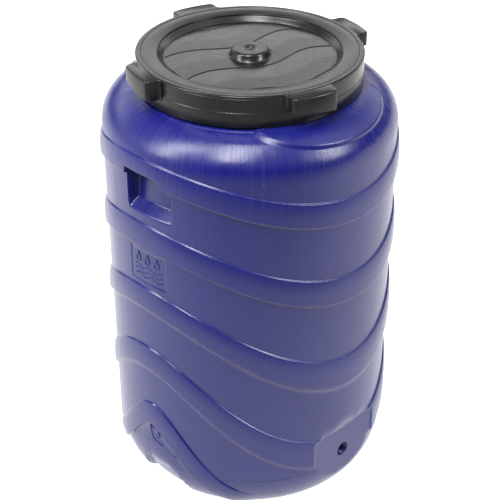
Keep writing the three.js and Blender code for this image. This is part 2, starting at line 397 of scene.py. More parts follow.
def foot_scoop(z, angle):
    """The shallow hand hold in the foot's edge under each grip."""
    half = SCOOP_HALF_ANGLE * np.sqrt(np.clip(1 - z / SCOOP_HEIGHT, 0, 1))
    bowl = ramp((SCOOP_HEIGHT - z) / 36.0) * ramp((z + 22.0) / 50.0)
    aside = np.abs(from_grip(angle) * np.sign(past_grip(angle)) - SCOOP_TURN)
    return SCOOP_DEPTH * bowl * ramp((half - aside) / 1.3)


PANEL_MIDDLE = 11.0
PANEL_HALF = 40.0
PANEL_LOW = 451.0
PANEL_HIGH = 512.0
PANEL_DEPTH = 1.3
PANEL_EDGE = 2.0


def panel_recess(z, angle):
    """The sunk field under each grip."""
    along = np.radians(from_grip(angle)) * WALL_RADIUS * np.sign(past_grip(angle))
    aside = PANEL_HALF - np.abs(along - PANEL_MIDDLE)
    up = np.minimum(z - PANEL_LOW, PANEL_HIGH - z)
    return PANEL_DEPTH * ramp(np.minimum(aside, up) / PANEL_EDGE + 0.5)


def flatten_pad(r, z, angle, inset):
    """Cuts the flat tap pad on -Y under its arched top edge."""
    from_front = angle - 1.5 * np.pi
    x = PAD_PLANE * np.tan(np.clip(from_front, -0.6, 0.6))
    half = PAD_HALF + inset
    arch = PAD_SIDE_TOP + (PAD_CROWN - PAD_SIDE_TOP) * (1 - (x / half) ** 2) + inset
    flat = (PAD_PLANE - inset) / np.cos(np.clip(from_front, -0.6, 0.6))
    weight = ramp((half - np.abs(x)) / 3.0 + 0.5) * ramp((arch - z) / 7.0 + 0.5)
    weight = weight * (np.abs(from_front) < 0.5)
    return np.where(r > flat, r + (flat - r) * weight, r)


def filleted(corners, radii, steps=10):
    """A polyline in (r, z) with rounded corners, as points."""
    points = [np.array(corners[0], float)]
    for before, corner, after, radius in zip(corners, corners[1:], corners[2:], radii):
        corner = np.array(corner, float)
        to_before = np.array(before, float) - corner
        to_after = np.array(after, float) - corner
        to_before /= np.linalg.norm(to_before)
        to_after /= np.linalg.norm(to_after)
        half = 0.5 * math.acos(float(np.clip(to_before @ to_after, -1, 1)))
        reach = radius / math.tan(half)
        halfway = to_before + to_after
        middle = corner + halfway / np.linalg.norm(halfway) * radius / math.sin(half)
        first = corner + to_before * reach - middle
        last = corner + to_after * reach - middle
        turn = math.pi - 2 * half
        for t in np.linspace(0, 1, steps):
            blend = (math.sin((1 - t) * turn) * first + math.sin(t * turn) * last) / math.sin(turn)
            points.append(middle + blend)
    points.append(np.array(corners[-1], float))
    return np.array(points)


def spaced(points, count, evenness=0.55):
    """count points along a polyline, closer together where it bends."""
    gaps = np.linalg.norm(np.diff(points, axis=0), axis=1)
    importance = gaps / gaps.sum() * evenness + (1 - evenness) / len(gaps)
    along = np.concatenate([[0], np.cumsum(importance)])
    wanted = np.linspace(0, along[-1], count)
    return np.column_stack([np.interp(wanted, along, points[:, axis]) for axis in (0, 1)])


def grip_half_width(z):
    """Half width of the grip's opening at a height: full below, rounded in at the tap side's top."""
    above = np.clip((z - GRIP_CEILING + GRIP_CORNER) / GRIP_CORNER, 0, 1)
    below = np.clip((GRIP_LIP + GRIP_CORNER / 2 - z) / (GRIP_CORNER / 2 + 4), 0, 1)
    tap_side = GRIP_CORNER * (1 - np.sqrt(1 - above**2))
    far_side = GRIP_CORNER * 0.6 * (1 - np.sqrt(1 - below**2))
    return GRIP_HALF - far_side, GRIP_HALF - tap_side


def carve_grips(r, z, angle, centre_z, inset):
    """Bends the rows round each grip into the pocket: lip, sloping floor, back and ceiling."""
    first = int(np.searchsorted(centre_z, GRIP_LIP - 11))
    last = int(np.searchsorted(centre_z, GRIP_CEILING + 3))
    back = WALL_RADIUS - GRIP_DEPTH - inset
    front = WALL_RADIUS - inset
    outer = WIDEST if inset == 0 else front
    corners = [
        (front, centre_z[first]),
        (front, GRIP_LIP - inset),
        (back, GRIP_FLOOR_BACK - inset),
        (back - GRIP_LEAN, GRIP_CEILING + inset),
        (outer, GRIP_CEILING + inset),
        (outer, centre_z[last] + inset),
    ]
    profile = spaced(filleted(corners, (6, 4, 3, 1.5)), last - first + 1)
    along = past_grip(angle) - GRIP_OFFSET
    near_grip = from_grip(angle) < 40
    lower, _ = WAVES[-1]
    tilt = wave(lower, angle) - wave(lower, 0.0)
    for row in range(first, last + 1):
        pocket_r, pocket_z = profile[row - first]
        far_half, tap_half = grip_half_width(pocket_z)
        half = np.where(along[row] > 0, tap_half, far_half) + inset
        weight = ramp((half - np.abs(along[row])) / GRIP_EDGE + 0.5) * near_grip[row]
        drop = 0.35 * tilt[row] * ramp((pocket_z - GRIP_LIP) / 40)
        r[row] += (pocket_r - r[row]) * weight
        z[row] += (pocket_z + drop - z[row]) * weight
    return r, z


def wall_grid(inset):
    """Radius and height arrays of the wall, rows by columns, offset inwards by inset."""
    column = column_angles()
    z = outer_rows(column)
    angle = np.broadcast_to(column, z.shape)
    centre_z = z[:, 0].copy()
    base = wall_radius(z)
    slope = np.gradient(wall_radius(np.linspace(0, SHOULDER_TOP, 4000)), SHOULDER_TOP / 3999)
    lean = np.interp(z, np.linspace(0, SHOULDER_TOP, 4000), slope)
    normal_r = 1 / np.sqrt(1 + lean**2)
    normal_z = -lean * normal_r
    if inset == 0:
        out = wall_lift(z, angle) + shoulder_relief(z, angle) - foot_scoop(z, angle)
        out = out - panel_recess(z, angle)
    else:
        out = -inset - foot_scoop(z, angle)
    r = base + out * normal_r
    z = z + out * normal_z
    r, z = carve_grips(r, z, angle, centre_z, inset)
    r = flatten_pad(r, z, angle, inset)
    return r, z, angle


def thread_ridge(z, angle, foot):
    """Height of a two-start thread ridge at a point, from 0 to 1."""
    raised = 0
    for start in (0, math.pi):
        turned = (angle - start) % (2 * np.pi)
        middle = foot + THREAD_WIDTH / 2 + THREAD_LEAD * turned / (2 * np.pi)
        ends = ramp(turned / THREAD_TAPER) * ramp((2 * np.pi * THREAD_TURNS - turned) / THREAD_TAPER)
        flank = ramp((THREAD_WIDTH / 2 + 0.4 - np.abs(z - middle)) / 1.4)
        raised = np.maximum(raised, ends * flank)
    return raised


def barrel_mesh():
    """The whole blow-moulded shell as one closed mesh: wall, neck, inside and foot."""
    r, z, angle = wall_grid(0)
    count = r.shape[1]
    column = angle[0]
    stack = [
        (2, FOOT_HOLLOW[1] + 1.5),
        (70, FOOT_HOLLOW[1] + 1.5),
        (FOOT_HOLLOW[0] - 12, FOOT_HOLLOW[1]),
        (FOOT_HOLLOW[0] - 6, FOOT_HOLLOW[1] - 2),
        (FOOT_HOLLOW[0] - 2, 0.8),
        (FOOT_HOLLOW[0] + 2, 0.0),
        (FOOT_RADIUS - SCOOP_DEPTH - 3, 0.0),
    ]
    stack += list(zip(r, z))
    stack.append((NECK_OUTER + 1.2, SHOULDER_TOP + 1.2))
    for height in np.arange(SHOULDER_TOP + 2.5, NECK_RIM - 1.4, THREAD_ROW):
        raised = thread_ridge(height, column, NECK_THREAD_FOOT)
        stack.append((NECK_OUTER + NECK_THREAD_DEPTH * raised, height))
    stack += [
        (NECK_OUTER, NECK_RIM - 1.2),
        (NECK_OUTER - 0.4, NECK_RIM - 0.35),
        (NECK_OUTER - 1.2, NECK_RIM),
    ]
    outer = turned_points(stack, column)
    faces = grid_faces(len(stack), count)
    faces.append(tuple(range(count))[::-1])

    inner_r, inner_z, _ = wall_grid(WALL)
    inner_column = column[::INNER_SKIP]
    few = len(inner_column)
    picked = [row for row in range(inner_r.shape[0] - 2, 4, -3) if inner_z[row, 0] > WALL]
    inside = [
        (NECK_INNER + 1.2, NECK_RIM),
        (NECK_INNER, NECK_RIM - 1.2),
        (NECK_INNER, SHOULDER_TOP - 2),
        (NECK_INNER + 3, SHOULDER_TOP - WALL),
    ]
    inside += [(inner_r[row, ::INNER_SKIP], inner_z[row, ::INNER_SKIP]) for row in picked]
    inside += [
        (FOOT_RADIUS - 12, WALL),
        (FOOT_HOLLOW[0] + 2, WALL),
        (FOOT_HOLLOW[0] - 8, FOOT_HOLLOW[1] + WALL),
        (2, FOOT_HOLLOW[1] + WALL + 1.5),
    ]
    inner = turned_points(inside, inner_column)
    start = len(outer)
    faces += grid_faces(len(inside), few, start)
    faces.append(tuple(range(start + (len(inside) - 1) * few, start + len(inside) * few)))
    rim = (len(stack) - 1) * count
    for step in range(few):
        across = [rim + (step * INNER_SKIP + k) % count for k in range(INNER_SKIP + 1)]
        faces.append(tuple(across + [start + (step + 1) % few, start + step]))
    return make_object("barrel_shell", np.concatenate([outer, inner]), faces)


def drill_tap_hole(shell):
    """A clean round hole through the pad, cut with an exact boolean."""
    bpy.ops.mesh.primitive_cylinder_add(
        vertices=64, radius=(TAP_RADIUS + 1.2) * MM, depth=0.06,
        location=(0, -PAD_PLANE * MM, TAP_HEIGHT * MM), rotation=(math.pi / 2, 0, 0))
    cutter = bpy.context.object
    cut = shell.modifiers.new("tap hole", "BOOLEAN")
    cut.object = cutter
    cut.operation = "DIFFERENCE"
    cut.solver = "EXACT"
    apply_modifiers(shell)
    bpy.data.objects.remove(cutter)


def apply_modifiers(piece):
    """Replaces a piece's mesh with the result of its modifiers."""
    graph = bpy.context.evaluated_depsgraph_get()
    made = bpy.data.meshes.new_from_object(piece.evaluated_get(graph))
    piece.modifiers.clear()
    piece.data = made


TAP_SLEEVE = 12.0
TAP_THREAD_PITCH = 1.8
TAP_THREAD_DEPTH = 0.9


def tap_thread():
    """The pipe thread's sleeve in the tap hole, moulded with the barrel."""
    columns = 96
    angle = np.linspace(0, 2 * np.pi, columns, endpoint=False)
    sleeve = TAP_RADIUS + TAP_THREAD_DEPTH + 0.25
    levels = [(sleeve, TAP_SLEEVE), (sleeve, 0.3)]
    for depth in np.arange(0, TAP_SLEEVE + 0.01, 0.3):
        phase = (depth / TAP_THREAD_PITCH - angle / (2 * np.pi)) % 1
        fade = ramp(depth / 1.5)
        levels.append((TAP_RADIUS + TAP_THREAD_DEPTH * (1 - fade * (1 - np.abs(2 * phase - 1))), depth))
    turned = turned_points(levels, angle)
    points = np.column_stack([turned[:, 0], turned[:, 2] - PAD_PLANE, turned[:, 1] + TAP_HEIGHT])
    faces = grid_faces(len(levels), columns) + closing_faces(len(levels), columns)
    made = make_object("tap_thread", points, faces)
    fix_normals(made)
    return made


def fix_normals(piece):
    """Merges doubled points and turns every face outwards."""
    edit = bmesh.new()
    edit.from_mesh(piece.data)
    bmesh.ops.remove_doubles(edit, verts=edit.verts, dist=1e-6)
    bmesh.ops.recalc_face_normals(edit, faces=edit.faces)
    edit.to_mesh(piece.data)
    edit.free()


# ---- raised marks ---------------------------------------------------------------------------

def surface_point(along, height, lift, side):
    """A point on the wall, an arc length towards the tap from a grip's axis; side is 1 on +X."""
    step = 0.05
    slope = float(wall_radius(height + step) - wall_radius(height - step)) / (2 * step)
    outward = lift / math.hypot(1, slope)
    radius = float(wall_radius(height)) + outward
    turn = along / WALL_RADIUS
    x = side * radius * math.cos(turn)
    y = -radius * math.sin(turn)
    return np.array([x, y, height - slope * outward])


# A ridge's cross-section: offset as a part of its width and rise as a part of its height.
RIDGE_SECTION = [(-0.5, -0.6), (-0.32, 0.55), (0, 1), (0.32, 0.55), (0.5, -0.6)]


def ridge(path, width, height, side, closed, sunk=0.0):
    """A half-round ridge along a path of (along, height) points on the wall."""
    path = np.array(path, float)
    ahead = np.roll(path, -1, axis=0) - np.roll(path, 1, axis=0)
    if not closed:
        ahead[0] = path[1] - path[0]
        ahead[-1] = path[-1] - path[-2]
    ahead /= np.linalg.norm(ahead, axis=1)[:, None]
    across = np.column_stack([-ahead[:, 1], ahead[:, 0]])
    points = []
    for place_on, aside in zip(path, across):
        for offset, rise in RIDGE_SECTION:
            along, up = place_on + aside * offset * width
            points.append(surface_point(along, up, rise * height - sunk, side))
    size = len(RIDGE_SECTION)
    count = len(path)
    faces = []
    for step in range(count if closed else count - 1):
        here = step * size
        there = ((step + 1) % count) * size
        for k in range(size):
            after = (k + 1) % size
            faces.append((here + k, here + after, there + after, there + k))
    if not closed:
        faces.append(tuple(range(size))[::-1])
        faces.append(tuple(range((count - 1) * size, count * size)))
    return points, faces


def join_parts(parts):
    """One list of points and one of faces from several."""
    points = []
    faces = []
    for part_points, part_faces in parts:
        first = len(points)
        points += list(part_points)
        faces += [tuple(index + first for index in face) for face in part_faces]
    return points, faces


def drop_outline(centre, size, steps=40):
    """A water drop's outline about a point."""
    path = []
    for turn in np.linspace(0, 2 * math.pi, steps, endpoint=False):
        x = 0.5 * size * math.sin(turn) * math.sin(turn / 2) ** 1.5
        path.append((centre[0] + x, centre[1] + 0.62 * size * math.cos(turn)))
    return path


MARK = (2.8, 1.4)         # width and height of a raised mark's line
DROPS = (-21, 0, 21)
CHEVRON = [(-3, 146), (5, 121), (28, 116)]
SEAM_HEIGHT = 80.0        # the mould's parting line round the foot, away from the grips
SEAM_ARCH = (8.0, 114.0)  # the middle of its arch under a grip: arc length and height
PARTING_LINE = 340.0      # arc length from a grip's axis to the parting line on the shoulder


def seam_path():
    """The parting line round half of the foot."""
    middle, top = SEAM_ARCH
    path = []
    for along in np.linspace(-300, 298, 200):
        path.append((along, max(SEAM_HEIGHT, top - 18 * ((along - middle) / 66) ** 2)))
    return path


def panel_marks(side):
    """Three plain drops over three waves in the sunk panel under a grip."""
    parts = []
    for row in range(3):
        base = PANEL_LOW + 11 + 8 * row
        path = []
        for x in np.linspace(-31, 31, 61):
            path.append((x + PANEL_MIDDLE, base + 2.4 * math.sin(x / 4.6 + 0.6 * row)))
        parts.append(ridge(path, 3.0, 1.4, side, False, PANEL_DEPTH))
    for x in DROPS:
        path = drop_outline((x + PANEL_MIDDLE, PANEL_HIGH - 16), 15)
        parts.append(ridge(path, *MARK, side, True, PANEL_DEPTH))
    return parts


def parting_marks(side):
    """The parting line across the petal and a little way down the shoulder."""
    petal_foot = 712
    crossing = []
    for z in np.linspace(petal_foot, 730, 19):
        crossing.append((side * (PARTING_LINE + 3 * math.sin((z - petal_foot) / 4)), z))
    below = [(side * (PARTING_LINE + (708 - z) / 3), z) for z in np.linspace(708, 690, 10)]
    return [
        ridge(crossing, 1.4, 0.6, side, False, -PETAL_HEIGHT),
        ridge(below, 1.2, 0.35, side, False),
    ]


def moulded_marks():
    """The marks in the panels and at the foot, and the mould's parting lines."""
    parts = []
    for side in (1, -1):
        parts += panel_marks(side)
        parts.append(ridge(CHEVRON, *MARK, side, False))
        parts.append(ridge(drop_outline((17, 134), 11), 1.6, 0.8, side, True))
        parts.append(ridge(seam_path(), 1.5, 0.4, side, False))
    for side in (1, -1):
        parts += parting_marks(side)
    points, faces = join_parts(parts)
    made = make_object("moulded_marks", points, faces)
    fix_normals(made)
    return made


# ---- screw ring --------------------------------------------------------------------------------

FLANGE_FALL = 2.2      # how far the flange slopes down to its opening
LUG_HALF = 10.9
LUG_HEIGHTS = (22.0, 33.0)     # depth of a lug's lower edge at its two ends
LUG_ROOT = 181.6       # radius at which a lug starts, inside the skirt
LUG_ROUNDING = 2.0
LUG_WALL = 3.2
RING_THREAD_DEPTH = 5.8


def ring_mesh():
    """The ring without its lugs: flange, skirt and the thread inside it."""
    columns = 360
    angle = np.linspace(0, 2 * np.pi, columns, endpoint=False)
    step_line = TOP - 28.0
    levels = [
        (RING_INNER, RING_FOOT),
        (RING_INNER + 0.4, RING_FOOT),
        (RING_OUTER - 1, RING_FOOT),
        (RING_OUTER - 0.2, RING_FOOT + 0.4),
        (RING_OUTER, RING_FOOT + 1.2),
        (RING_OUTER, step_line),
        (RING_OUTER - 0.5, step_line + 0.7),
        (RING_OUTER - 0.5, TOP - 5.4),
        (RING_OUTER - 0.9, TOP - 5.0),
        (RING_OUTER - 0.9, TOP - 4.6),
        (RING_OUTER - 0.3, TOP - 4.2),
    ]
    levels += arc((RING_OUTER - 2.6, TOP - 2.6), 2.6, 0, 90, 7)
    levels += [
        (RING_OUTER - 7.2, TOP),
        (RING_OUTER - 8.2, TOP - 0.2),
        (RING_OUTER - 8.8, TOP - 0.9),
        (RING_OUTER - 9.4, TOP - 0.35),
        (RING_OUTER - 10.4, TOP - 0.25),
        (RING_OPENING + 12, TOP - 0.9),
        (RING_OPENING + 2, TOP - FLANGE_FALL),
    ]
    levels += arc((RING_OPENING + 1.2, TOP - FLANGE_FALL - 1.3), 1.2, 90, 180, 5)
    levels += [
        (RING_OPENING, TOP - RING_FLANGE + 0.3),
        (RING_OPENING + 0.3, TOP - RING_FLANGE),
        (RING_INNER - 1.5, TOP - RING_FLANGE),
        (RING_INNER, TOP - RING_FLANGE - 1.5),
    ]
    thread_foot = NECK_THREAD_FOOT - THREAD_WIDTH - 0.3
    for height in np.arange(TOP - RING_FLANGE - 2.6, RING_FOOT + 0.9, -THREAD_ROW):
        raised = thread_ridge(height, angle, thread_foot)
        levels.append((RING_INNER - RING_THREAD_DEPTH * raised, height))
    faces = grid_faces(len(levels), columns) + closing_faces(len(levels), columns)
    return make_object("ring", turned_points(levels, angle), faces)


def lug_outline(inset):
    """Plan of a lug about +X: root, flared fillets, rounded corners and outer arc."""
    half = math.radians(LUG_HALF)
    fillet = 5.0
    corner = 8.0 - inset
    outer = LUG_RADIUS - inset
    side_y = LUG_RADIUS * math.sin(half) - inset
    side = []
    if inset == 0:
        root = half + 0.035
        side.append((LUG_ROOT * math.cos(root), -LUG_ROOT * math.sin(root)))
        flare_x = math.sqrt(RING_OUTER**2 - side_y**2) + fillet
        flare_y = -side_y - fillet
        for turn in np.radians(np.linspace(180, 90, 5)):
            side.append((flare_x + fillet * math.cos(turn), flare_y + fillet * math.sin(turn)))
    else:
        side.append((LUG_ROOT + 4.0, -side_y))
    corner_x = math.sqrt((outer - corner) ** 2 - (side_y - corner) ** 2)
    corner_y = corner - side_y
    outward = math.degrees(math.atan2(side_y - corner, corner_x))
    for turn in np.radians(np.linspace(-90, -outward, 6)):
        side.append((corner_x + corner * math.cos(turn), corner_y + corner * math.sin(turn)))
    turns = np.radians(np.linspace(-outward, outward, 13))[1:-1]
    front = [(outer * math.cos(turn), outer * math.sin(turn)) for turn in turns]
    return side + front + [(x, -y) for x, y in side[::-1]]


def lug_mesh(turn):
    """One hollow lug, open underneath, with its lower edge deeper at one end."""
    top = TOP - 0.4
    outline = np.array(lug_outline(0))
    hollow = np.array(lug_outline(LUG_WALL))
    half = abs(outline[:, 1]).max()

    def under(y):
        t = np.clip((y / half + 1) / 2, 0, 1)
        return top - (LUG_HEIGHTS[0] + (LUG_HEIGHTS[1] - LUG_HEIGHTS[0]) * t)

    loops = [np.column_stack([outline, under(outline[:, 1])])]
    outward = outline[:, 0] - LUG_ROOT
    for turned in np.radians((0, 30, 60, 90)):
        shrink = LUG_ROUNDING * (1 - math.cos(turned))
        rounded = outline.copy()
        rounded[:, 0] -= np.where(outward > 4, shrink * outward / 24, 0)
        rounded[:, 1] *= 1 - shrink / half
        height = top - LUG_ROUNDING + LUG_ROUNDING * math.sin(turned)
        loops.append(np.column_stack([rounded, np.full(len(rounded), height)]))
    edit = bmesh.new()
    rings = [[edit.verts.new(point) for point in loop] for loop in loops]
    for low, high in zip(rings, rings[1:]):
        for k in range(len(low)):
            after = (k + 1) % len(low)
            edit.faces.new((low[k], low[after], high[after], high[k]))
    edit.faces.new(rings[-1])
    inner_low = [edit.verts.new((x, y, under(y))) for x, y in hollow]
    inner_high = [edit.verts.new((x, y, top - LUG_WALL - 0.4)) for x, y in hollow]
    for k in range(len(hollow)):
        after = (k + 1) % len(hollow)
        edit.faces.new((inner_low[after], inner_low[k], inner_high[k], inner_high[after]))
    edit.faces.new(inner_high[::-1])
    edges = []
    for loop in (rings[0], inner_low):
        for k in range(len(loop)):
            edges.append(edit.edges.get((loop[k], loop[(k + 1) % len(loop)])))
    bmesh.ops.bridge_loops(edit, edges=edges)
    bmesh.ops.recalc_face_normals(edit, faces=edit.faces)
    spin = Matrix.Rotation(math.radians(turn), 3, "Z")
    bmesh.ops.rotate(edit, verts=edit.verts, cent=(0, 0, 0), matrix=spin)
    bmesh.ops.scale(edit, verts=edit.verts, vec=(MM, MM, MM))
    mesh = bpy.data.meshes.new("lug")
    edit.to_mesh(mesh)
    edit.free()
    made = bpy.data.objects.new("lug", mesh)
    bpy.context.scene.collection.objects.link(made)
    return made


def screw_ring():
    ring = ring_mesh()
    ring.name = "threaded_ring"
    lugs = [lug_mesh(LUG_FIRST + 360 * k / LUG_COUNT) for k in range(LUG_COUNT)]
    for lug in lugs:
        union = ring.modifiers.new("lug", "BOOLEAN")
        union.object = lug
        union.operation = "UNION"
        union.solver = "EXACT"
    apply_modifiers(ring)
    for lug in lugs:
        bpy.data.objects.remove(lug)
    smooth_by_angle(ring, 35)
    return ring


def smooth_by_angle(piece, degrees):
    """Smooth shading that keeps edges sharper than an angle."""
    edit = bmesh.new()
    edit.from_mesh(piece.data)
    limit = math.radians(degrees)
    for face in edit.faces:
        face.smooth = True
    for edge in edit.edges:
        edge.smooth = not (len(edge.link_faces) == 2 and edge.calc_face_angle() > limit)
    edit.to_mesh(piece.data)
    edit.free()


# ---- lid disc and gasket ---------------------------------------------------------------------------

WAVE_UNIT = 184.0
WAVE_SHIFT = (0.25, -0.40)
WAVE_TURN = 45.0
WAVE_DEPTH = 1.4


def curve_height(x):
    """The repeated S-curve of the lid's relief, in wave units."""
    left = -0.275 * np.exp(-(np.maximum(x, -1.6) + 0.78) / 0.157)
    return 0.125 + left + 0.2375 * (1 + np.tanh((x - 0.09) / 0.17))


def wave_phase(x, y):
    """Which copy of the S-curve a point lies on, as a real number, by bisection."""
    low = np.full_like(x, -6.0)
    high = np.full_like(x, 6.0)
    for _ in range(40):
        middle = (low + high) / 2
        above = y - WAVE_SHIFT[1] * middle > curve_height(x - WAVE_SHIFT[0] * middle)
        high = np.where(above, middle, high)
        low = np.where(above, low, middle)
    return (low + high) / 2


def lid_relief(x, y):
    """Height of the lid's waves at a point in millimetres: a sharp step, then a soft crest."""
    turn = math.radians(WAVE_TURN)
    across = (x * math.cos(turn) - y * math.sin(turn)) / WAVE_UNIT
    away = (x * math.sin(turn) + y * math.cos(turn)) / WAVE_UNIT
    phase = wave_phase(across, away)
    part = phase % 1
    slope = np.where(part < 0.5, part * 1.5, 0.75 - (part - 0.5) * 0.6)
    sharp = ramp(np.minimum(part, 1 - part) / 0.035)
    return WAVE_DEPTH * slope * sharp


def disc_mesh():
    """The dished lid with its waves, grip knob and rim."""
    columns = 640
    angle = np.linspace(0, 2 * np.pi, columns, endpoint=False)
    levels = [(0.6, TOP - 0.5), (2.6, TOP - 0.6), (3.6, TOP - 1.7), (6.6, TOP - 1.7), (7.4, TOP - 0.3)]
    levels += [(8.2, TOP), (16, TOP), (23, TOP)]
    levels += arc((25.4, TOP - 5.0), 5.0, 90, 20, 8)
    levels += [(32.6, LID_FLOOR + 2.4), (34.2, LID_FLOOR + 0.9), (35.6, LID_FLOOR + 0.2)]
    for radius in np.linspace(36.6, LID_WALL_FOOT - 3.5, 106):
        relief = lid_relief(radius * np.cos(angle), radius * np.sin(angle))
        fade = ramp((radius - 36) / 2.0) * ramp((LID_WALL_FOOT - 2.5 - radius) / 2.0)
        levels.append((radius, LID_FLOOR + fade * relief))
    levels += arc((LID_WALL_FOOT - 3.4, LID_FLOOR + 3.2), 3.2, -90, -22, 6)
    levels.append((LID_WALL_FOOT + 5.6, RIM_TOP - 2.6))
    levels += arc((LID_WALL_FOOT + 8.6, RIM_TOP - 1.8), 1.8, 150, 90, 5)
    levels += [
        (RIM_RADIUS - 0.8, RIM_TOP),
        (RIM_RADIUS, RIM_TOP - 0.8),
        (RIM_RADIUS, RIM_TOP - 2.4),
        (RIM_RADIUS - 0.6, RIM_TOP - 3.0),
        (LID_WALL_FOOT + 11, RIM_TOP - 3.0),
        (LID_WALL_FOOT + 8.6, RIM_TOP - 3.6),
        (LID_WALL_FOOT + 2.6, LID_UNDER + 1.0),
        (LID_WALL_FOOT + 0.6, LID_UNDER),
        (100, LID_UNDER),
        (60, LID_UNDER),
        (36, LID_UNDER),
        (32, LID_UNDER + 0.6),
        (27, LID_UNDER + 11.4),
        (24, LID_UNDER + 12.4),
        (0.6, LID_UNDER + 12.4),
    ]
    faces = grid_faces(len(levels), columns, flip=True)
    faces.append(tuple(range(columns)))
    last = (len(levels) - 1) * columns
    faces.append(tuple(range(last, last + columns))[::-1])
    return make_object("lid_disc_moulded", turned_points(levels, angle), faces)


def gasket_mesh():
    """A flat rubber ring with rounded edges between the neck's rim and the lid."""
    low = GASKET_FOOT
    high = GASKET_TOP
    middle = (low + high) / 2
    bulge = (high - low) / 2
    inside = arc((GASKET_INNER + bulge, middle), bulge, 270, 90, 13)
    outside = arc((GASKET_OUTER - bulge, middle), bulge, 90, -90, 13)
    return lathe("rubber_gasket", inside + outside, 192)


# ---- materials ------------------------------------------------------------------------------

class Finish:
    """A node material with a Principled shader, and short ways of adding nodes to it."""

    def __init__(self, name):
        self.material = bpy.data.materials.new(name)
        self.material.use_nodes = True
        self.tree = self.material.node_tree
        self.shader = self.tree.nodes["Principled BSDF"]

    def node(self, kind, **settings):
        made = self.tree.nodes.new(kind)
        for name, value in settings.items():
            setattr(made, name, value)
        return made

    def wire(self, source, target):
        self.tree.links.new(source, target)

    def feed(self, name, source):
        """Wires a socket to one of the shader's inputs."""
        self.wire(source, self.shader.inputs[name])

    def math(self, operation, first, second=0.0):
        made = self.node("ShaderNodeMath", operation=operation)
        for socket, value in zip(made.inputs, (first, second)):
            if isinstance(value, (int, float)):
                socket.default_value = value
            else:
                self.wire(value, socket)
        return made.outputs[0]

    def position(self):
        """Object coordinates split into x, y and z."""
        source = self.node("ShaderNodeTexCoord").outputs["Object"]
        split = self.node("ShaderNodeSeparateXYZ")
        self.wire(source, split.inputs[0])
        return source, split.outputs

    def polar(self):
        """Distance from the axis, turn and height, as three sockets."""
        _, (x, y, z) = self.position()
        turn = self.math("ARCTAN2", y, x)
        squares = self.math("ADD", self.math("MULTIPLY", x, x), self.math("MULTIPLY", y, y))
        return self.math("SQRT", squares), turn, z

    def combine(self, x, y, z):
        made = self.node("ShaderNodeCombineXYZ")
        for socket, value in zip(made.inputs, (x, y, z)):
            if isinstance(value, (int, float)):
                socket.default_value = value
            else:
                self.wire(value, socket)
        return made.outputs[0]

    def noise(self, vector, scale, detail=4.0, rough=0.55):
        made = self.node("ShaderNodeTexNoise")
        made.inputs["Scale"].default_value = scale
        made.inputs["Detail"].default_value = detail
        made.inputs["Roughness"].default_value = rough
        self.wire(vector, made.inputs["Vector"])
        return made.outputs["Fac"]

    def spread(self, value, low, high, new_low, new_high):
        """A value mapped from one range to another, held at its ends."""
        made = self.node("ShaderNodeMapRange")
        made.inputs["From Min"].default_value = low
        made.inputs["From Max"].default_value = high
        made.inputs["To Min"].default_value = new_low
        made.inputs["To Max"].default_value = new_high
        self.wire(value, made.inputs["Value"])
        return made.outputs["Result"]

    def blend(self, factor, first, second):
        """A colour between two, each a colour or a socket."""
        made = self.node("ShaderNodeMix", data_type="RGBA")
        self.wire(factor, made.inputs["Factor"])
        for socket, value in ((made.inputs[6], first), (made.inputs[7], second)):
            if isinstance(value, tuple):
                socket.default_value = (*value, 1)
            else:
                self.wire(value, socket)
        return made.outputs[2]

    def bump(self, height, distance, strength=1.0, under=None):
        made = self.node("ShaderNodeBump")
        made.inputs["Distance"].default_value = distance
        made.inputs["Strength"].default_value = strength
        self.wire(height, made.inputs["Height"])
        if under is not None:
            self.wire(under, made.inputs["Normal"])
        return made.outputs["Normal"]


BARREL_BLUE = (0.0070, 0.0086, 0.118)
BARREL_BLUE_DEEP = (0.0058, 0.0074, 0.105)
BARREL_CHALK = (0.30, 0.30, 0.52)
LID_BLACK = (0.0075, 0.0072, 0.0068)
LID_GREY = (0.0120, 0.0115, 0.0110)
DUST = (0.20, 0.19, 0.18)


def barrel_finish():
    """Blue blow-moulded plastic: fine die lines down the wall, slight cloudiness, light specks."""
    finish = Finish("blue_polyethylene")
    source, _ = finish.position()
    _, turn, height = finish.polar()
    drawn_out = finish.combine(turn, 0.0, finish.math("MULTIPLY", height, 0.018))
    lines = finish.noise(drawn_out, 130, 6, 0.7)
    broad = finish.noise(finish.combine(turn, 0.0, finish.math("MULTIPLY", height, 0.3)), 9, 1)
    cloud = finish.noise(source, 6, 3)
    specks = finish.noise(source, 260, 1)
    colour = finish.blend(finish.spread(cloud, 0.35, 0.65, 0, 1), BARREL_BLUE_DEEP, BARREL_BLUE)
    high_up = finish.spread(height, 0.44, 0.68, 0.03, 1.0)
    chalky = finish.math("MULTIPLY", finish.spread(lines, 0.56, 0.80, 0, 0.13), high_up)
    colour = finish.blend(chalky, colour, BARREL_CHALK)
    colour = finish.blend(finish.spread(specks, 0.76, 0.84, 0, 0.35), colour, BARREL_CHALK)
    finish.feed("Base Color", colour)
    streaky = finish.math("MULTIPLY", finish.math("SUBTRACT", lines, 0.5), high_up)
    satin = finish.spread(streaky, -0.2, 0.2, 0.20, 0.33)
    uneven = finish.spread(broad, 0.3, 0.7, -0.02, 0.03)
    finish.feed("Roughness", finish.math("ADD", satin, uneven))
    finish.shader.inputs["IOR"].default_value = 1.5
    fine = finish.bump(streaky, 0.00018)
    rippled = finish.bump(finish.noise(source, 55, 3), 0.00024, under=fine)
    finish.feed("Normal", rippled)
    return finish.material


